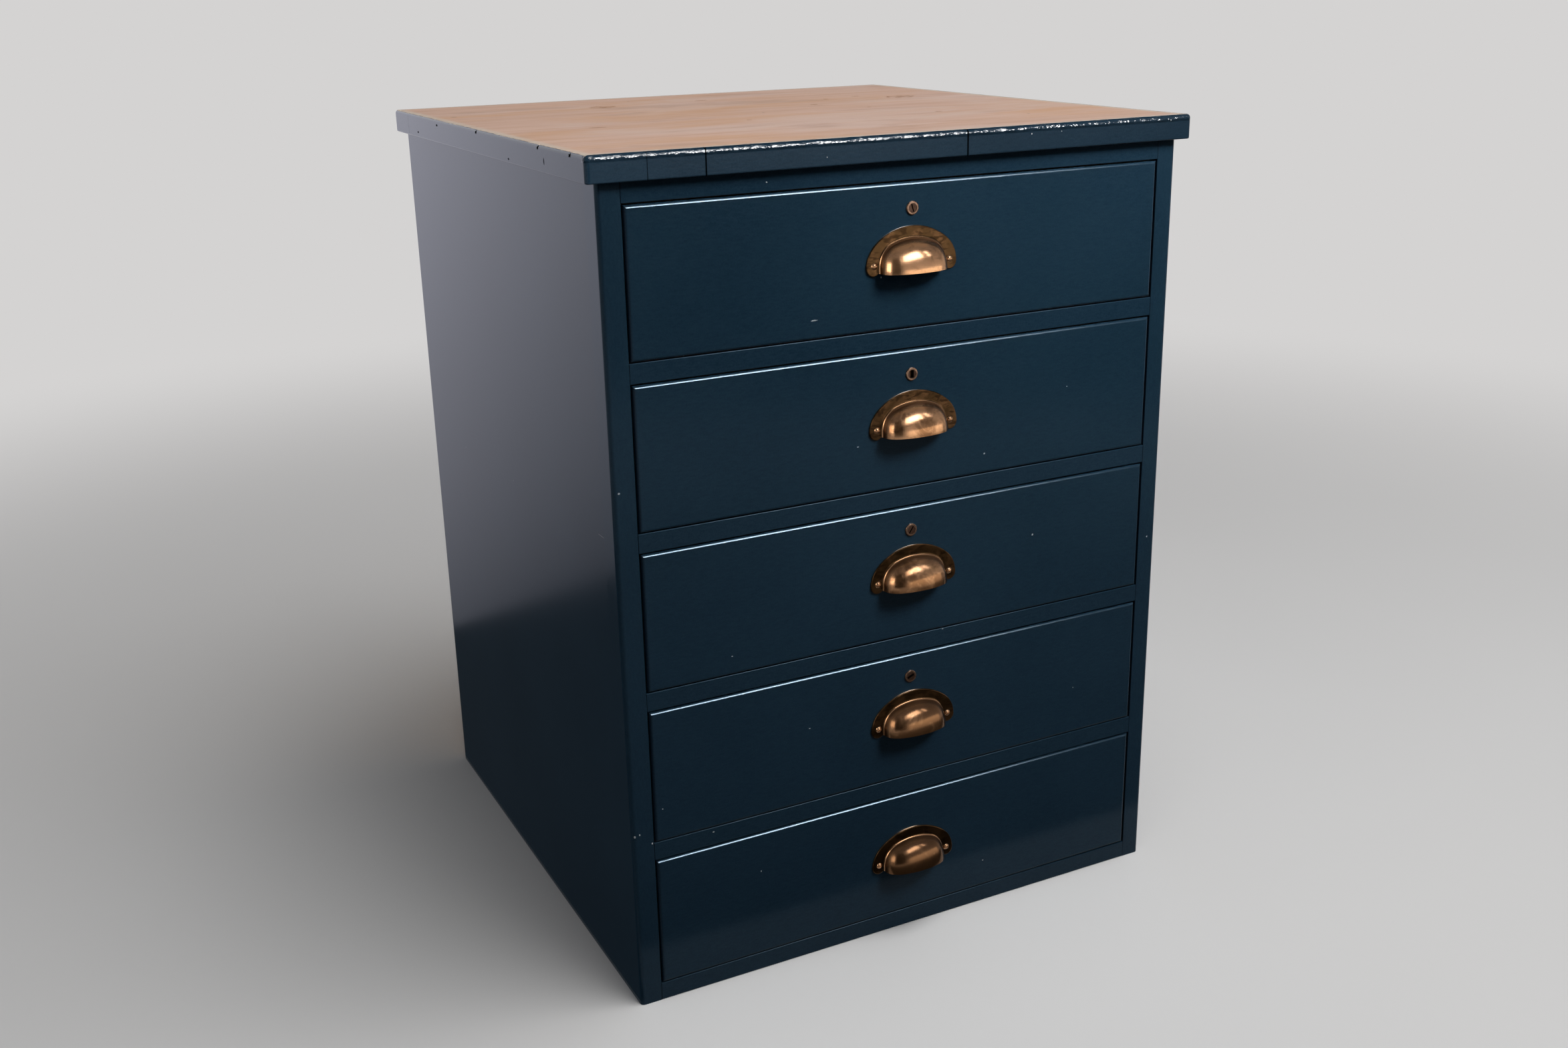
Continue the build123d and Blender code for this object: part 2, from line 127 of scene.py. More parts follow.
class Shader:
    """A material in the making, with short calls that add and join its nodes."""

    def __init__(self, name):
        self.material = bpy.data.materials.new(name)
        self.material.use_nodes = True
        self.tree = self.material.node_tree
        self.surface = self.tree.nodes["Principled BSDF"]
        self.place = self.add("TexCoord").outputs["Object"]

    def add(self, kind, inputs=None, **settings):
        node = self.tree.nodes.new("ShaderNode" + kind)
        for key, value in settings.items():
            setattr(node, key, value)
        for key, value in (inputs or {}).items():
            self.put(node.inputs[key], value)
        return node

    def put(self, socket, value):
        if isinstance(value, bpy.types.NodeSocket):
            self.tree.links.new(value, socket)
        elif hasattr(value, "__len__") and len(value) == 3 and len(socket.default_value) == 4:
            socket.default_value = (*value, 1.0)
        else:
            socket.default_value = value

    def set(self, **values):
        """Sets sockets of the surface shader; underscores stand for spaces."""
        for key, value in values.items():
            self.put(self.surface.inputs[key.replace("_", " ")], value)

    def maths(self, operation, a, b=0.0, c=0.0, clamp=False):
        node = self.add("Math", operation=operation, use_clamp=clamp)
        for socket, value in zip(node.inputs, (a, b, c)):
            self.put(socket, value)
        return node.outputs[0]

    def scaled(self, scale, shift=(0, 0, 0)):
        inputs = {"Vector": self.place, "Scale": scale, "Location": shift}
        return self.add("Mapping", inputs).outputs[0]

    def noise(self, vector, scale, detail=4.0, roughness=0.55, distortion=0.0):
        inputs = {"Vector": vector, "Scale": scale, "Detail": detail, "Roughness": roughness,
                  "Distortion": distortion}
        return self.add("TexNoise", inputs).outputs["Fac"]

    def span(self, value, low, high, start=0.0, end=1.0, smooth=True):
        kind = "SMOOTHSTEP" if smooth else "LINEAR"
        inputs = {"Value": value, "From Min": low, "From Max": high, "To Min": start, "To Max": end}
        return self.add("MapRange", inputs, interpolation_type=kind).outputs[0]

    def mix(self, factor, a, b):
        node = self.add("Mix", data_type="RGBA")
        for index, value in ((0, factor), (6, a), (7, b)):
            self.put(node.inputs[index], value)
        return node.outputs[2]

    def ramp(self, factor, stops):
        node = self.add("ValToRGB", {"Fac": factor})
        elements = node.color_ramp.elements
        while len(elements) < len(stops):
            elements.new(0.5)
        for element, (position, colour) in zip(elements, stops):
            element.position = position
            element.color = (*colour, 1.0)
        return node.outputs[0]

    def bump(self, height, distance, strength=1.0, normal=None):
        inputs = {"Height": height, "Distance": distance, "Strength": strength}
        if normal is not None:
            inputs["Normal"] = normal
        return self.add("Bump", inputs).outputs[0]

    def seen(self):
        """1 for rays that look at a thing, straight, in gloss or through glass; 0 for its light."""
        path = self.add("LightPath").outputs
        either = self.maths("ADD", path["Is Camera Ray"], path["Is Glossy Ray"])
        return self.maths("ADD", either, path["Is Transmission Ray"], clamp=True)

    def axes(self):
        return self.add("SeparateXYZ", {"Vector": self.place}).outputs

    def nearness(self, centre, size):
        """1 at a centre, falling to 0 at an ellipsoid of the given half sizes."""
        scale = [1 / s for s in size]
        shift = [-c / s for c, s in zip(centre, size)]
        length = self.add("VectorMath", {0: self.scaled(scale, shift)}, operation="LENGTH")
        return self.maths("SUBTRACT", 1.0, length.outputs["Value"])

    def away_from(self, value, centre):
        """Distance of a value from a number, without its sign."""
        return self.maths("ABSOLUTE", self.maths("SUBTRACT", value, centre))


# Materials


def wood_parts(shader, tones, grain, seed):
    """Colour and height of planed wood, grained along one axis; the seed shifts its figure."""
    along = {"x": (1.0, 14.0, 14.0), "y": (14.0, 1.0, 14.0), "z": (14.0, 14.0, 1.0)}[grain]
    flow = shader.scaled(along, (seed, 2 * seed, 3 * seed))
    figure = shader.noise(flow, 3.2, 5.0, 0.6, 0.9)
    fibre = shader.noise(shader.scaled([9.0 * a for a in along], (seed, 0, seed)), 5.0, 3.0, 0.7)
    blotch = shader.noise(shader.place, 7.0, 3.0, 0.5)
    tone = shader.maths("MULTIPLY_ADD", fibre, 0.28, shader.maths("MULTIPLY", figure, 0.72))
    light, middle, dark = tones
    colour = shader.ramp(tone, [(0.32, dark), (0.46, middle), (0.62, light), (0.8, middle)])
    colour = shader.mix(shader.span(blotch, 0.35, 0.7, 0.0, 0.35), colour, middle)
    return colour, shader.maths("ADD", fibre, shader.maths("MULTIPLY", figure, 0.6))


def plain_wood(name, tones, grain, seed):
    """Unpainted wood."""
    shader = Shader(name)
    colour, height = wood_parts(shader, tones, grain, seed)
    shader.set(Base_Color=colour, Roughness=0.62, Normal=shader.bump(height, 0.15 * MM, 0.6))
    return shader.material


def paint_parts(shader, brush, strength=1.0):
    """Colour, height and roughness of mottled gloss paint, brushed along one axis."""
    along = {"x": (1.0, 3.5, 3.5), "y": (3.5, 1.0, 3.5), "z": (3.5, 3.5, 1.0)}[brush]
    strokes = shader.noise(shader.scaled(along), 130.0, 4.0, 0.6, 0.2)
    peel = shader.noise(shader.place, 620.0, 2.0, 0.55)
    cloud = shader.noise(shader.place, 4.5, 3.0, 0.55)
    tone = shader.maths("MULTIPLY_ADD", strokes, 0.34, shader.maths("MULTIPLY", cloud, 0.33))
    tone = shader.maths("MULTIPLY_ADD", peel, 0.33, tone)
    colour = shader.ramp(tone, [(0.36, PAINT_DEEP), (0.64, PAINT_LIGHT)])
    height = shader.maths("MULTIPLY_ADD", peel, 0.6, strokes)
    rough = shader.span(strokes, 0.3, 0.7, 0.12, 0.18)
    return colour, shader.maths("MULTIPLY", height, strength), rough


def specks(shader, places, scale=900.0):
    """Small ragged spots, as chips in the paint: 1 inside them."""
    ragged = shader.noise(shader.place, scale, 2.0, 0.6)
    total = None
    for centre, size in places:
        near = shader.nearness(centre, size)
        inside = shader.maths("ADD", near, shader.maths("MULTIPLY_ADD", ragged, 0.9, -0.45))
        inside = shader.span(inside, 0.30, 0.42)
        total = inside if total is None else shader.maths("MAXIMUM", total, inside)
    return total


def painted_front(name, brush, chips, bare_from, tones=BOX_WOOD, grain="x", seed=1.7,
                  worn_below=None, joint_at=None):
    """Paint on what faces the room, with bare wood further back than the depth bare_from.

    The paint is worn to reddish wood in a thin line below the height worn_below, and shows a faint
    joint at the distance joint_at from the middle."""
    shader = Shader(name)
    colour, height, rough = paint_parts(shader, brush)
    if worn_below is not None:
        gaps = shader.noise(shader.place, 55.0, 3.0, 0.7)
        broken = shader.maths("MULTIPLY_ADD", gaps, 1.6 * MM, shader.axes()["Z"])
        worn = shader.span(broken, worn_below + 1.5 * MM, worn_below + 1.1 * MM)
        colour = shader.mix(worn, colour, WORN_EDGE)
        rough = shader.span(worn, 0.0, 1.0, rough, 0.5)
    if joint_at is not None:
        off = shader.away_from(shader.maths("ABSOLUTE", shader.axes()["X"]), joint_at)
        line = shader.span(off, 0.55 * MM, 0.15 * MM)
        colour = shader.mix(shader.maths("MULTIPLY", line, 0.75), colour, PAINT_GROOVE)
        height = shader.maths("MULTIPLY_ADD", line, -1.5, height)
    if chips:
        mask = specks(shader, chips)
        colour = shader.mix(mask, colour, PRIMER)
        height = shader.maths("SUBTRACT", height, mask)
    wood, wood_height = wood_parts(shader, tones, grain, seed)
    ragged = shader.noise(shader.place, 130.0, 3.0, 0.6)
    depth = shader.maths("MULTIPLY_ADD", ragged, 5 * MM, shader.axes()["Y"])
    bare = shader.span(depth, bare_from + 2 * MM, bare_from + 3 * MM)
    colour = shader.mix(bare, colour, wood)
    height = shader.mix(bare, height, wood_height)
    rough = shader.span(bare, 0.0, 1.0, rough, 0.6)
    shader.set(Base_Color=colour, Roughness=rough, Normal=shader.bump(height, 0.07 * MM, 0.4))
    shader.set(Specular_IOR_Level=0.14, Specular_Tint=(0.62, 0.82, 1.0))
    return shader.material


def painted_side(chips):
    """Outer faces of the side panels: smoother, glossier paint; bare wood inside the body."""
    shader = Shader("paint_side")
    colour, height, _ = paint_parts(shader, "z", 0.7)
    mask = specks(shader, chips)
    colour = shader.mix(mask, colour, DULL_PRIMER)
    height = shader.maths("SUBTRACT", height, mask)
    wood, wood_height = wood_parts(shader, INNER_WOOD, "z", 4.1)
    across = shader.maths("ABSOLUTE", shader.axes()["X"])
    inside = abs(side_face) - SIDE_PAINT_DEPTH
    bare = shader.span(across, inside, inside - 1 * MM)
    colour = shader.mix(bare, colour, wood)
    height = shader.mix(bare, height, wood_height)
    rough = shader.span(bare, 0.0, 1.0, 0.19, 0.62)
    shader.set(Base_Color=colour, Roughness=rough, Normal=shader.bump(height, 0.05 * MM, 0.4))
    shader.set(Specular_IOR_Level=0.14)
    return shader.material


def knot(shader, centre, size):
    """A small knot: a brown heart of uneven outline in a broken ring; 1 where darkest."""
    uneven = shader.noise(shader.place, 85.0, 3.0, 0.6)
    ragged = shader.maths("MULTIPLY_ADD", uneven, 0.9, -0.45)
    near = shader.maths("ADD", shader.nearness(centre, size), ragged)
    heart = shader.span(near, 0.55, 0.80, 0.0, 0.7)
    ring = shader.span(shader.away_from(near, 0.32), 0.15, 0.05)
    halo = shader.span(near, 0.0, 0.4, 0.0, 0.25)
    broken = shader.maths("MULTIPLY", ring, shader.span(uneven, 0.40, 0.56))
    return shader.maths("MAXIMUM", shader.maths("MAXIMUM", heart, broken), halo)


def sanded_wood(shader):
    """Colour and height of the sanded top, with patches, knots, stains, dents and pores."""
    wood, height = wood_parts(shader, TOP_WOOD, "x", 2.3)
    warm = shader.noise(shader.scaled((0.4, 1.0, 1.0)), 6.5, 4.0, 0.6, 0.3)
    wood = shader.mix(shader.span(warm, 0.48, 0.68, 0.0, 0.55), wood, TOP_ORANGE)
    chalk = shader.noise(shader.scaled((0.5, 1.0, 1.0), (3.1, 0.7, 0.0)), 6.5, 4.0, 0.6, 0.3)
    wood = shader.mix(shader.span(chalk, 0.50, 0.68, 0.0, 0.5), wood, TOP_CHALK)
    dull = shader.noise(shader.scaled((0.35, 1.0, 1.0), (7.7, 2.9, 0.0)), 14.0, 4.0, 0.6, 0.4)
    wood = shader.mix(shader.span(dull, 0.52, 0.68, 0.0, 0.5), wood, TOP_DULL)
    for centre, size in TOP_KNOTS:
        wood = shader.mix(shader.maths("MULTIPLY", knot(shader, centre, size), 0.9), wood, STAIN)
    for places, tone in ((TOP_MARKS, STAIN), (TOP_DENTS, DENT)):
        wood = shader.mix(shader.maths("MULTIPLY", specks(shader, places, 500.0), 0.6), wood, tone)
    pores = shader.noise(shader.scaled((0.12, 1.0, 1.0)), 900.0, 2.0, 0.6)
    return shader.mix(shader.span(pores, 0.66, 0.76, 0.0, 0.35), wood, TOP_PORES), height


def edge_paint(shader, x, front):
    """Paint round the top, with chips and open joints: its colour, height and share of gloss."""
    paint, height, _ = paint_parts(shader, "x")
    paint = shader.mix(specks(shader, EDGE_CHIPS), paint, PRIMER)
    # Near-black dots and nicks on the left edge, which also lose their gloss
    dots = specks(shader, EDGE_DOTS)
    paint = shader.mix(dots, paint, NEAR_BLACK_MARK)
    gloss = shader.maths("SUBTRACT", 1.0, dots)
    for place, width, depth in FRONT_JOINTS:
        off = shader.away_from(x, place * MM)
        line = shader.span(off, width * MM, 0.4 * width * MM, 0.0, depth)
        line = shader.maths("MULTIPLY", line, front)
        paint = shader.mix(line, paint, PAINT_SHADOW)
        gloss = shader.maths("MULTIPLY", gloss, shader.maths("SUBTRACT", 1.0, line))
    return paint, height, gloss


def from_edge(shader, x, y):
    """Distance from the nearest edge of the top.

    On the left and in front it is counted from a little outside, so that less paint wraps over."""
    from_left = shader.maths("SUBTRACT", x, top_low.x - LEFT_NARROWER)
    sides = shader.maths("MINIMUM", from_left, shader.maths("SUBTRACT", top_high.x, x))
    from_front = shader.maths("SUBTRACT", y, top_low.y - FRONT_NARROWER)
    ends = shader.maths("MINIMUM", from_front, shader.maths("SUBTRACT", top_high.y, y))
    return shader.maths("MINIMUM", sides, ends)


def top_finish():
    """Bare sanded wood, with the paint of the edges wrapped a few millimetres over the arris."""
    shader = Shader("bare_top")
    axes = shader.axes()
    x, y, z = axes["X"], axes["Y"], axes["Z"]
    joint = top_low.y + TOP_LIPPING
    front = shader.span(y, joint + 0.5 * MM, joint - 0.5 * MM)
    wood, wood_height = sanded_wood(shader)
    paint, paint_height, gloss = edge_paint(shader, x, front)
    ragged = shader.noise(shader.place, 60.0, 3.0, 0.6)
    edge = shader.maths("MULTIPLY_ADD", ragged, 2.0 * MM, from_edge(shader, x, y))
    # Pale band along the edges of the bare wood: partly wood tone, partly painted sheen
    rim = shader.span(edge, 19 * MM, 7 * MM)
    rim = shader.maths("MULTIPLY", rim, shader.span(ragged, 0.25, 0.6, 0.45, 0.85))
    wood = shader.mix(rim, wood, TOP_RIM_TONE_AND_SHEEN)
    painted = shader.span(edge, 6.4 * MM, 5.8 * MM)
    under = shader.span(z, top_low.z + 2 * MM, top_low.z + 1 * MM)
    painted = shader.maths("MAXIMUM", painted, under)
    colour = shader.mix(painted, wood, paint)
    height = shader.mix(painted, wood_height, paint_height)
    rough = shader.span(painted, 0.0, 1.0, 0.75, 0.35)
    arris = shader.span(z, top_high.z - 7 * MM, top_high.z - 4 * MM)
    runs = shader.noise(shader.scaled((0.55, 1.0, 1.0)), 150.0, 3.0, 0.6)
    runs = shader.maths("MULTIPLY", runs, shader.maths("MULTIPLY", arris, front))
    normal = shader.bump(height, 0.08 * MM, 0.5, shader.bump(runs, 2.2 * MM, 1.0))
    shader.set(Base_Color=colour, Roughness=rough, Normal=normal, Specular_IOR_Level=0.0)
    coat = shader.maths("MULTIPLY", painted, gloss)
    shader.set(Coat_Weight=coat, Coat_Roughness=0.15, Coat_IOR=1.25, Coat_Normal=normal)
    return shader.material


def brass(name, polished, worn, dark, flange_depth):
    """Old brass, polished by hands where proud, brown on the flange; with painted shade and
    highlights.
    """
    shader = Shader(name)
    axes = shader.axes()
    y, z = axes["Y"], axes["Z"]
    flange_face = front_face - flange_depth
    proud = shader.span(y, flange_face, flange_face - 1.5 * MM)
    patches = shader.noise(shader.place, 48.0, 4.0, 0.6, 0.5)
    smears = shader.noise(shader.scaled((1.0, 1.0, 3.0), (0.4, 0.0, 0.9)), 75.0, 3.0, 0.6, 0.6)
    fine = shader.noise(shader.place, 700.0, 3.0, 0.65)
    # Polish grows with height: partly wear, partly painted light that makes the upper pulls
    # brighter
    height = shader.span(z, 0.1, 0.8, -0.16, 0.20, smooth=False)
    rubbed = shader.span(shader.maths("ADD", patches, height), 0.42, 0.66)
    handled = shader.mix(rubbed, worn, polished)
    handled = shader.mix(shader.span(smears, 0.55, 0.75, 0.0, 0.5), handled, worn)
    flange = shader.mix(shader.span(patches, 0.42, 0.66, 0.0, 0.30), dark, worn)
    flange = shader.mix(shader.span(smears, 0.50, 0.62, 0.0, 0.8), flange, TARNISH)
    # Duller brass near the flange: partly unrubbed brass, partly painted shade where the cup meets
    # the flange
    crown = shader.span(y, flange_face - 1 * MM, front_face - CROWN_DEPTH)
    handled = shader.mix(crown, worn, handled)
    # Painted shade: the pulls darken towards the floor, down to the lower pull colour
    lower = shader.span(z, 0.12, 0.62, 0.6, 0.0, smooth=False)
    handled = shader.mix(lower, handled, LOWER_PULL_SHADE)
    # Painted highlight: polished colour along the flange's edge next to the wood, broken by the
    # patches
    rim = shader.span(y, front_face - 1.45 * MM, front_face - 1.15 * MM)
    rim = shader.maths("MULTIPLY", rim, shader.span(patches, 0.3, 0.5, 0.4, 1.0))
    flange = shader.mix(rim, flange, polished)
    colour = shader.mix(proud, flange, handled)
    # Painted highlight: a ring of polished colour in the hollow where the cup meets the flange
    ring = shader.away_from(y, flange_face - 0.75 * MM)
    colour = shader.mix(shader.span(ring, 0.75 * MM, 0.35 * MM, 0.0, 0.8), colour, polished)
    colour = shader.mix(shader.span(fine, 0.62, 0.78, 0.0, 0.35), colour, dark)
    rough = shader.maths("MULTIPLY_ADD", fine, 0.05, shader.span(patches, 0.3, 0.7, 0.12, 0.19))
    shadowed = shader.maths("MULTIPLY", proud, shader.maths("SUBTRACT", 1.0, crown))
    rough = shader.maths("MULTIPLY_ADD", shadowed, 0.22, rough)
    normal = shader.bump(smears, 0.05 * MM, 0.25)
    shader.set(Base_Color=colour, Metallic=1.0, Roughness=rough, Normal=normal)
    return shader.material


def metal(name, tones, roughness, dark_from=None):
    """Plain worked metal with fine scratches and slight staining.

    Behind the depth dark_from it is painted black for 3 mm, as painted shade in the keyway, and
    lighter brass from 6 mm on, where the cams are."""
    shader = Shader(name)
    light, dark = tones
    stain = shader.noise(shader.place, 160.0, 4.0, 0.6)
    fine = shader.noise(shader.place, 1200.0, 2.0, 0.6)
    colour = shader.mix(shader.span(stain, 0.35, 0.65), light, dark)
    rough = shader.span(stain, 0.3, 0.7, roughness - 0.06, roughness + 0.1)
    shine = 1.0
    if dark_from is not None:
        y = shader.axes()["Y"]
        # Painted shade: black, dull and not metal in the keyway, behind the plug's face
        keyway_shade = shader.maths("MULTIPLY", shader.span(y, dark_from, dark_from + 0.3 * MM),
                            shader.span(y, dark_from + 4 * MM, dark_from + 3 * MM))
        colour = shader.mix(keyway_shade, colour, PAINTED_KEYWAY_SHADE)
        cam = shader.span(y, dark_from + 5 * MM, dark_from + 6 * MM)
        colour = shader.mix(cam, colour, CAM_BRASS)
        rough = shader.span(keyway_shade, 0.0, 1.0, rough, 0.9)
        shine = shader.span(keyway_shade, 0.0, 1.0, 1.0, 0.0)
        shader.set(Specular_IOR_Level=0.1)
    normal = shader.bump(fine, 0.01 * MM, 0.5)
    shader.set(Base_Color=colour, Metallic=shine, Roughness=rough, Normal=normal)
    return shader.material


def dress(names, material):
    """Gives CAD nodes one material."""
    for name in names:
        slots = nodes[name].data.materials
        slots.clear()
        slots.append(material)


def spot(place, size):
    """Centre and half size of a small spot, from millimetres."""
    return [value * MM for value in place], [value * MM for value in size]


def front_spots(face, places):
    """Spots on a face that looks forward, from x, z and the half size along each."""
    return [spot((x, face / MM, z), (wide, SPOT_DEPTH, high)) for x, z, wide, high in places]


def side_spots(face, places, depth=SPOT_DEPTH):
    """Spots on a face that looks sideways, from y, z and the half size along each."""
    return [spot((face / MM, y, z), (depth, wide, high)) for y, z, wide, high in places]


def top_spots(places):
    """Spots on the upper face of the top, from x, y and the half sizes along all three axes."""
    return [spot((x, y, top_high.z / MM), size) for x, y, *size in places]


# Marks of the photograph in millimetres, each as its place and half sizes
DRAWER_CHIPS = {
    1: [(-107.8, 693.0, 5.5, 0.9), (-243.1, 674.5, 1.2, 1.2), (-34.0, 727.0, 0.8, 1.6)],
    2: [(88.7, 531.9, 1.3, 1.3), (-61.0, 561.0, 1.8, 0.7), (191.0, 590.0, 0.9, 0.9)],
    3: [(152.3, 431.9, 1.5, 1.5), (-205.0, 367.0, 1.0, 0.8), (31.0, 345.0, 0.8, 0.9)],
    4: [(-286.5, 219.3, 1.0, 1.3), (-120.0, 268.0, 1.4, 0.7), (214.0, 239.0, 0.9, 0.9)],
    5: [(-180.0, 118.0, 0.9, 1.1), (97.0, 52.0, 1.2, 0.8)],
}
STILE_CHIPS = front_spots(frame_face, [
    (-313.8, 553.1, 1.6, 1.3), (-317.1, 195.3, 1.5, 1.8), (-312.0, 196.5, 1.0, 1.4),
    (-299.0, 183.4, 1.0, 1.6), (309.0, 402.0, 1.2, 1.6)])
RAIL_CHIPS = front_spots(frame_face, [
    (-154.1, 826.1, 1.4, 0.9), (41.0, 345.5, 1.3, 0.8), (-232.0, 178.0, 1.6, 0.8)])
SIDE_CHIPS = side_spots(side_face, [
    (186.5, 476.2, 1.6, 1.4), (0.8, 483.7, 1.5, 1.5), (-275.0, 501.6, 14.0, 0.9),
    (-297.0, 500.2, 14.0, 0.9), (-309.0, 499.5, 2.2, 1.4), (120.0, 745.0, 1.3, 1.1)])
SIDE_CHIPS += side_spots(-side_face, [(-120.0, 610.0, 1.8, 1.2), (95.0, 330.0, 1.3, 1.6)])
TOP_KNOTS = top_spots([(-119.5, 195.0, 23.0, 17.0, 20.0), (236.0, 104.0, 24.0, 17.0, 20.0)])
TOP_MARKS = top_spots([
    (-223.4, -64.5, 15.0, 5.0, 5.0), (16.8, 213.9, 13.0, 5.0, 5.0), (196.5, 147.0, 9.0, 4.0, 5.0),
    (145.4, 130.0, 5.0, 5.0, 5.0), (92.2, 59.8, 7.0, 6.0, 5.0), (123.3, -14.7, 4.0, 4.0, 4.0),
    (-60.4, -82.8, 5.0, 4.0, 4.0), (150.0, -120.0, 8.0, 4.0, 5.0)])
TOP_DENTS = top_spots([
    (-305.1, 172.0, 5.5, 4.5, 4.0), (-7.6, -8.9, 2.6, 3.5, 4.0), (-60.0, 262.0, 2.5, 3.0, 4.0),
    (207.0, -208.0, 2.5, 3.0, 4.0)])
EDGE_CHIPS = front_spots(top_low.y, [
    (131.8, 853.5, 0.8, 1.3), (167.6, 853.8, 0.8, 0.9), (304.1, 857.1, 0.9, 1.5),
    (-96.0, 845.5, 0.7, 0.7)])
EDGE_DOTS = side_spots(top_low.x, [
    (149.1, 856.0, 5.0, 1.7), (-105.2, 841.0, 3.6, 1.5), (232.0, 843.0, 4.0, 1.7),
    (-212.0, 848.0, 2.0, 5.0)])
NICKS = [(y, 858.8, 5.0, 3.0) for y in (-282.9, -196.1, 0.3)]
EDGE_DOTS += side_spots(top_low.x + NICK_DEPTH, NICKS, depth=3.6)
# Open joints in the front edge of the top, as place, half width and darkness
FRONT_JOINTS = [(-274.3, 0.9, 0.45), (-218.0, 1.3, 0.85), (57.7, 1.4, 0.95)]
# Drawers with worn wood along the lower edge of their front
WORN_DRAWERS = (1, 4)

bare_from = front_face + FRONT_PAINT_DEPTH
for number in drawer_numbers:
    chips = front_spots(front_face, DRAWER_CHIPS[number])
    worn_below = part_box(f"drawer_{number}_front")[0].z if number in WORN_DRAWERS else None
    dress([f"drawer_{number}_front"],
          painted_front(f"paint_drawer_{number}", "x", chips, bare_from, worn_below=worn_below))
    # Paint over the front ends of the drawer sides: wrapped from the fronts, and painted shade that
    # keeps the gaps round the fronts dark
    dress([f"drawer_{number}_side_left", f"drawer_{number}_side_right"],
          painted_front(f"drawer_side_{number}", "z", (), bare_from, grain="y", seed=number * 0.7))
    dress([f"drawer_{number}_back"],
          plain_wood(f"drawer_back_wood_{number}", BOX_WOOD, "x", number * 1.3))
    dress([f"drawer_{number}_bottom"], plain_wood(f"plywood_{number}", PLYWOOD, "x", number * 0.9))

dress(["stile_left", "stile_right"],
      painted_front("paint_stile", "z", STILE_CHIPS, frame_face + STILE_PAINT_DEPTH,
                    joint_at=stile_joint))
dress(rails,
      painted_front("paint_rail", "x", RAIL_CHIPS, frame_face + RAIL_PAINT_DEPTH, INNER_WOOD,
                    joint_at=stile_joint))
dress(["side_panel_left", "side_panel_right"], painted_side(SIDE_CHIPS))
dress(["top_board"], top_finish())
dress(["rear_rails"], plain_wood("inner_wood_x", INNER_WOOD, "x", 0.4))
dress(["runners_left", "runners_right", "drawer_stops"],
      plain_wood("inner_wood_y", INNER_WOOD, "y", 1.1))
dress(["back_panel"], plain_wood("plywood_back", PLYWOOD, "z", 5.2))

pull_brass = brass("pull_brass", POLISHED, WORN, BROWN, FLANGE_DEPTH)
screw_brass = metal("screw_brass", SCREW_BRASS, 0.24)
lock_brass = metal("lock_brass", LOCK_BRASS, 0.24)
plug_bronze = metal("plug_bronze", PLUG_BRONZE, 0.38, plug_face + 0.1 * MM)
steel = metal("steel", STEEL, 0.4)
dress([f"drawer_{n}_pull" for n in drawer_numbers], pull_brass)
dress([f"drawer_{n}_pull_screws" for n in drawer_numbers], screw_brass)
dress([f"lock_{n}_barrel" for n in lock_numbers], lock_brass)
dress([f"lock_{n}_plug" for n in lock_numbers], plug_bronze)
dress(["top_screws"], steel)


# Rings of a pin's head, each as a share of its radius and of its rise
PIN_PROFILE = ((1.0, -0.2), (0.92, 0.55), (0.6, 0.9))
PIN_SIDES = 12


def pins(name, places, radius, rise, face):
    """Flat round heads of the pins that hold the back panel, each a low dome on its face."""
    mesh = bpy.data.meshes.new(name)
    shape = bmesh.new()
    turns = [radians(360 / PIN_SIDES * step) for step in range(PIN_SIDES)]
    for x, z in places:
        rings = []
        for share, height in PIN_PROFILE:
            reach, y = radius * share, face + rise * height
            rings.append([shape.verts.new((x + reach * cos(turn), y, z + reach * sin(turn)))
                          for turn in turns])
        for low, up in zip(rings, rings[1:]):
            for step in range(PIN_SIDES):
                shape.faces.new((low[step - 1], up[step - 1], up[step], low[step]))
        shape.faces.new(rings[-1])
    bmesh.ops.recalc_face_normals(shape, faces=shape.faces)
    shape.to_mesh(mesh)
    shape.free()
    piece = bpy.data.objects.new(name, mesh)
    bpy.context.scene.collection.objects.link(piece)
    mesh.materials.append(steel)
    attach(piece, "chest_body")
    return piece


def evenly(low, high, margin, count):
    """Places at even steps between two ends, the first and last a margin inside them."""
    step = (high - low - 2 * margin) / (count - 1)
    return [low + margin + number * step for number in range(count)]


# Seven pins down each side of the back panel and five across its top
side_margin, top_margin = 5 * MM, 10 * MM
columns = evenly(back_low.x, back_high.x, side_margin, 2)
heights = evenly(back_low.z, back_high.z, 40 * MM, 7)
across = evenly(back_low.x, back_high.x, 70 * MM, 5)
back_pins = [(x, z) for x in columns for z in heights]
back_pins += [(x, back_high.z - top_margin) for x in across]
pins("back_panel_pins", back_pins, 2.6 * MM, 0.5 * MM, back_high.y)


# Studio


def group(name, members):
    """A set of objects that a light can be kept to."""
    collection = bpy.data.collections.new(name)
    for member in members:
        collection.objects.link(member)
    return collection


def upright(x0, y0, x1, y1, low, high):
    """Corners of a vertical rectangle between two places on the floor plan."""
    return [(x0, y0, low), (x1, y1, low), (x1, y1, high), (x0, y0, high)]


def level(x0, y0, x1, y1, z):
    """Corners of a level rectangle."""
    return [(x0, y0, z), (x1, y0, z), (x1, y1, z), (x0, y1, z)]


def new_sheet(name, corners, material):
    """A rectangle of the studio."""
    mesh = bpy.data.meshes.new(name)
    mesh.from_pydata(corners, [], [(0, 1, 2, 3)])
    mesh.materials.append(material)
    sheet = bpy.data.objects.new(name, mesh)
    bpy.context.scene.collection.objects.link(sheet)
    return sheet


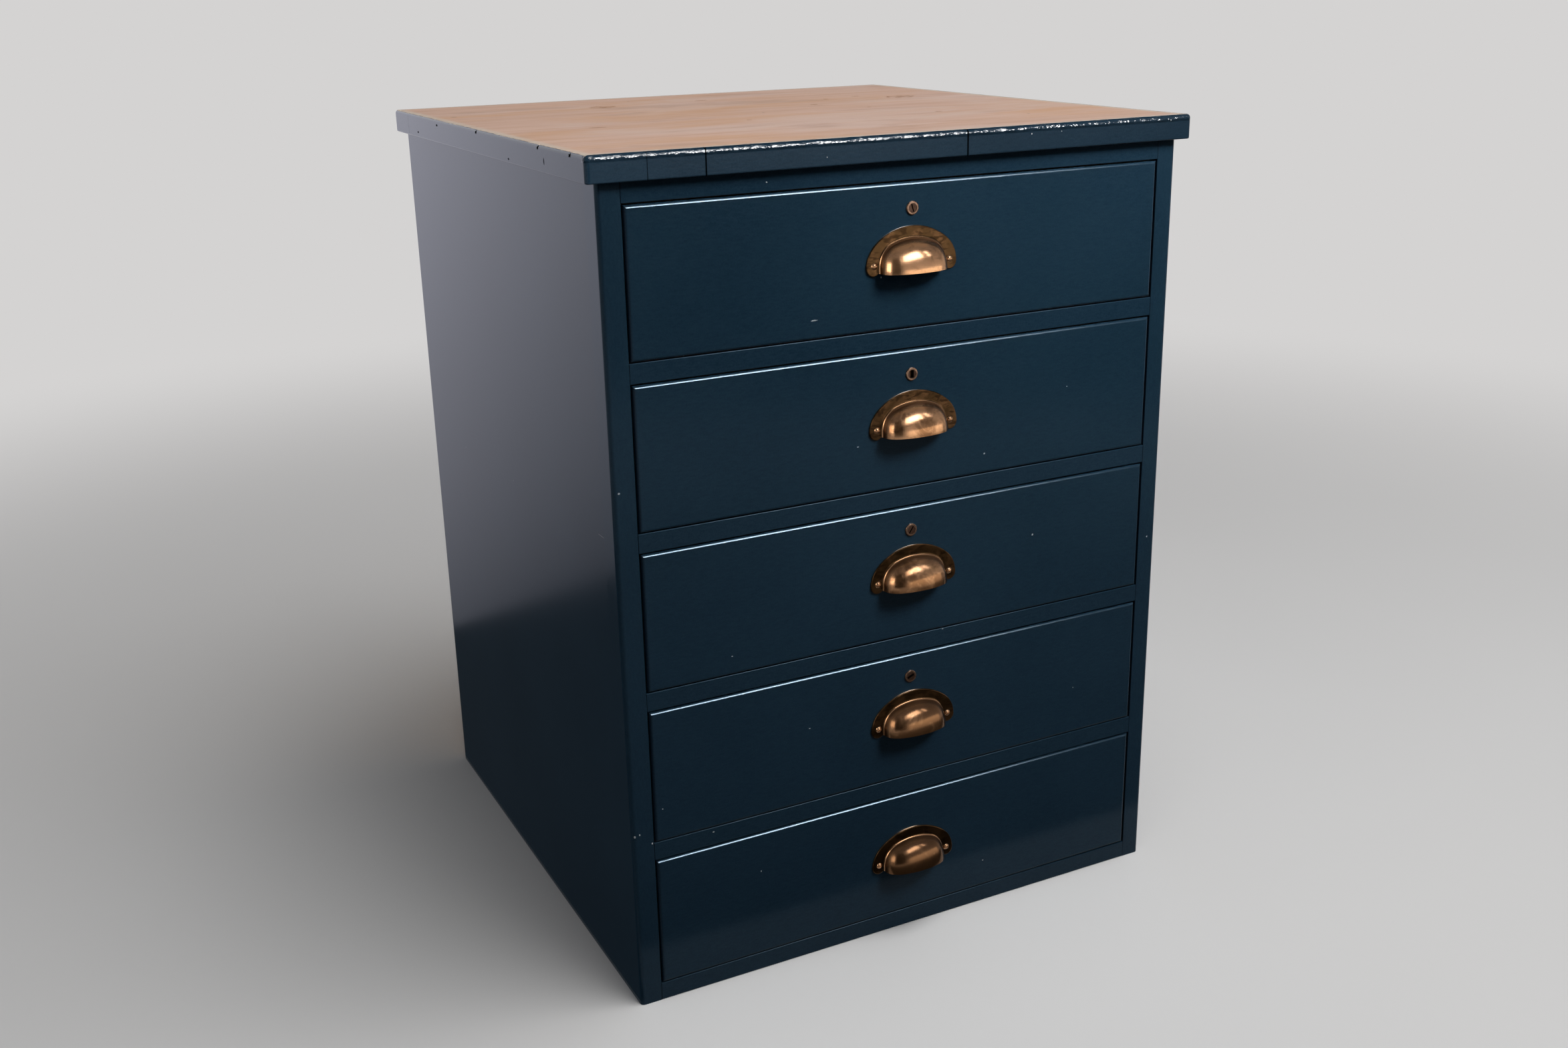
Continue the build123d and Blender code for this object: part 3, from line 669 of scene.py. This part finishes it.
def floor_material():
    """Plain pale floor that runs out into the even background.

    Its light on things is weaker than its look."""
    shader = Shader("studio_floor")
    soft = shader.noise(shader.place, 1.2, 2.0, 0.5)
    seen = shader.seen()
    colour = shader.mix(seen, FLOOR_AS_LIGHT, shader.mix(soft, *FLOOR_TONES))
    shader.set(Base_Color=colour, Roughness=0.85, Specular_IOR_Level=0.2)
    away = shader.add("VectorMath", {0: shader.place}, operation="LENGTH").outputs["Value"]
    glow = shader.add("Emission", {"Color": HORIZON, "Strength": 1.0}).outputs[0]
    factor = shader.maths("MULTIPLY", shader.span(away, 0.9, 3.2), seen)
    surfaces = {0: factor, 1: shader.surface.outputs[0], 2: glow}
    blend = shader.add("MixShader", surfaces).outputs[0]
    shader.put(shader.tree.nodes["Material Output"].inputs["Surface"], blend)
    return shader.material


def studio_floor(half):
    """The floor, a level square just under the chest."""
    corners = level(-half, -half, half, half, -0.2 * MM)
    sheet = new_sheet("studio_floor", corners, floor_material())
    return sheet


def card(name, corners, colour, low, high, only=None, rise="Z"):
    """A glowing card that shows only in gloss, where a group is given only in that of its pieces.

    Its strength runs from low to high along the axis rise."""
    shader = Shader(name)
    along = "XYZ".index(rise)
    start, end = corners[0][along], corners[2][along]
    strength = shader.span(shader.axes()[rise], start, end, low, high, smooth=False)
    glow = shader.add("Emission", {"Color": colour, "Strength": strength}).outputs[0]
    shader.put(shader.tree.nodes["Material Output"].inputs["Surface"], glow)
    sheet = new_sheet(name, corners, shader.material)
    sheet.visible_camera = sheet.visible_diffuse = sheet.visible_shadow = False
    if only is not None:
        sheet.light_linking.receiver_collection = only


def lamp(name, place, target, width, height, power, only, diffuse=True, glossy=True, spread=180):
    """A soft rectangular lamp that looks at a point and lights the pieces of one group only.

    A spread under 180 degrees narrows its light."""
    light = bpy.data.lights.new(name, "AREA")
    light.shape = "RECTANGLE"
    light.size, light.size_y = width, height
    light.energy, light.spread = power, radians(spread)
    lamp_object = bpy.data.objects.new(name, light)
    lamp_object.location = place
    aim = Vector(target) - Vector(place)
    lamp_object.rotation_euler = aim.to_track_quat("-Z", "Y").to_euler()
    lamp_object.visible_camera = False
    lamp_object.visible_diffuse, lamp_object.visible_glossy = diffuse, glossy
    lamp_object.light_linking.receiver_collection = only
    bpy.context.scene.collection.objects.link(lamp_object)


def world_light(horizon, zenith, fill):
    """Pale even surroundings, darker overhead, for rays that look at them.

    As light on things they are fill times as strong."""
    world = bpy.data.worlds.new("studio")
    bpy.context.scene.world = world
    world.use_nodes = True
    tree = world.node_tree

    def add(kind, **settings):
        node = tree.nodes.new("ShaderNode" + kind)
        for key, value in settings.items():
            setattr(node, key, value)
        return node

    background = tree.nodes["Background"]
    split, ramp, path = add("SeparateXYZ"), add("ValToRGB"), add("LightPath")
    either = add("Math", operation="MAXIMUM")
    any_look = add("Math", operation="MAXIMUM")
    strength = add("MapRange")
    for output, socket in (
            (add("TexCoord").outputs["Generated"], split.inputs[0]),
            (split.outputs["Z"], ramp.inputs["Fac"]),
            (ramp.outputs["Color"], background.inputs["Color"]),
            (path.outputs["Is Camera Ray"], either.inputs[0]),
            (path.outputs["Is Glossy Ray"], either.inputs[1]),
            (either.outputs[0], any_look.inputs[0]),
            (path.outputs["Is Transmission Ray"], any_look.inputs[1]),
            (any_look.outputs[0], strength.inputs["Value"]),
            (strength.outputs[0], background.inputs["Strength"])):
        tree.links.new(output, socket)
    strength.inputs["To Min"].default_value = fill
    for element, position, tone in zip(ramp.color_ramp.elements, (0.05, 0.55), (horizon, zenith)):
        element.position, element.color = position, (*tone, 1.0)


floor = studio_floor(FLOOR_HALF)
world_light(HORIZON, ZENITH, WORLD_FILL)
body_names = [name for name in wood_names if name != "top_board"]
body_only = group("body_only", [nodes[name] for name in body_names])
window_side = group("window_side", [nodes[name] for name in body_names if name not in rails])
top_only = group("top_only", [nodes["top_board"]])
paint_only = group("paint_only", [nodes[name] for name in wood_names])
metal_only = group("metal_only", [nodes[name] for name in metal_names])
floor_only = group("floor_only", [floor])

lamp("key", (0.95, -1.45, 2.10), (0.45, -0.30, 1.35), 0.8, 0.8, 20.0, body_only, spread=80)
lamp("top_key", (0.4, -3.4, 2.9), (0.0, 0.0, 0.86), 1.6, 1.6, 190.0, top_only)
lamp("floor_key", (0.7, -1.2, 3.6), (0.0, -0.3, 0.0), 2.6, 2.6, 135.0, floor_only)
lamp("left_fill", (-3.0, 0.35, 1.3), (-0.3, 0.0, 0.5), 1.4, 1.4, 26.0, paint_only, glossy=False)
lamp("right_fill", (2.8, 0.6, 1.6), (0.3, 0.0, 0.4), 1.4, 1.4, 40.0, paint_only, glossy=False)
lamp("back_fill", (-0.4, 3.0, 1.9), (0.0, 0.3, 0.4), 1.4, 1.4, 44.0, paint_only, glossy=False)

# The tall window in front on the right, which only the gloss of the paint sees
window = (1.20, -2.90, 2.35)
top_window = (1.22, -2.98, 2.12)
lamp("window", window, (0.0, -0.3, 1.7), 1.15, 1.5, 1300.0, window_side, diffuse=False)
lamp("top_window", top_window, (0.0, -0.3, 0.86), 1.0, 2.0, 1150.0, top_only, diffuse=False)

# Cards for the gloss of the paint: a pale wall behind on the left
wall_low = upright(-1.5, 1.115, -0.33, 0.765, 0.0, 0.95)
wall_high = upright(-1.5, 1.115, -0.33, 0.765, 0.95, 2.3)
card("wall_card", wall_low, WALL_LOW_TONE, 0.26, 1.5, paint_only)
card("high_wall_card", wall_high, WALL_HIGH_TONE, 1.5, 1.5, paint_only)

# Cards for the gloss of everything: a darker floor in front and on the left
floor_front = level(-1.6, -0.40, 2.6, -1.9, 3 * MM)
floor_left = level(-1.7, -0.33, -0.3205, 1.11, 3 * MM)
card("dark_floor", floor_front, WARM, 0.07, 0.36, None, "Y")
card("dark_floor_left", floor_left, WHITE, 0.02, 0.04, None, "Y")

# Cards for the gloss of the metal: windows, a light lower wall, a ceiling and a dark wall
window_right = upright(1.75, -2.0, 1.95, -1.85, 1.80, 2.60)
card("metal_window", upright(0.25, -2.9, 1.40, -2.2, 1.80, 2.90), WHITE, 8.0, 8.0, metal_only)
card("metal_window_right", window_right, WHITE, 6.0, 6.0, metal_only)
card("metal_low_wall", upright(0.3, -2.9, 2.4, -1.4, 0.0, 0.70), WARM, 1.0, 2.6, metal_only)
card("metal_left_window", upright(-2.7, -0.9, -1.9, -2.0, 0.7, 1.8), WARM, 5.0, 5.0, metal_only)
card("metal_ceiling", level(-1.2, -1.2, 2.4, 2.4, 3.1), WARM, 0.40, 0.30, metal_only, "Y")
card("dark_front", upright(-1.7, -2.1, 0.1, -3.0, 0.2, 2.6), WARM, 0.08, 0.12, metal_only)

# Camera, fitted to the photograph; its width, focal length and shift are in pixels
PHOTO_WIDTH = 2346
FOCAL_LENGTH = 2413.7
SHIFT = (-13.8, -15.2)
SENSOR = 36.0

camera_data = bpy.data.cameras.new("camera")
camera = bpy.data.objects.new("camera", camera_data)
bpy.context.scene.collection.objects.link(camera)
bpy.context.scene.camera = camera
camera.location = (-0.8119, -1.6539, 1.0026)
camera.rotation_euler = (radians(71.628), radians(1.101), radians(-27.175))
camera_data.sensor_width = SENSOR
camera_data.lens = SENSOR * FOCAL_LENGTH / PHOTO_WIDTH
camera_data.shift_x, camera_data.shift_y = (pixels / PHOTO_WIDTH for pixels in SHIFT)
camera_data.dof.use_dof = False
bpy.context.scene.view_settings.view_transform = "Standard"
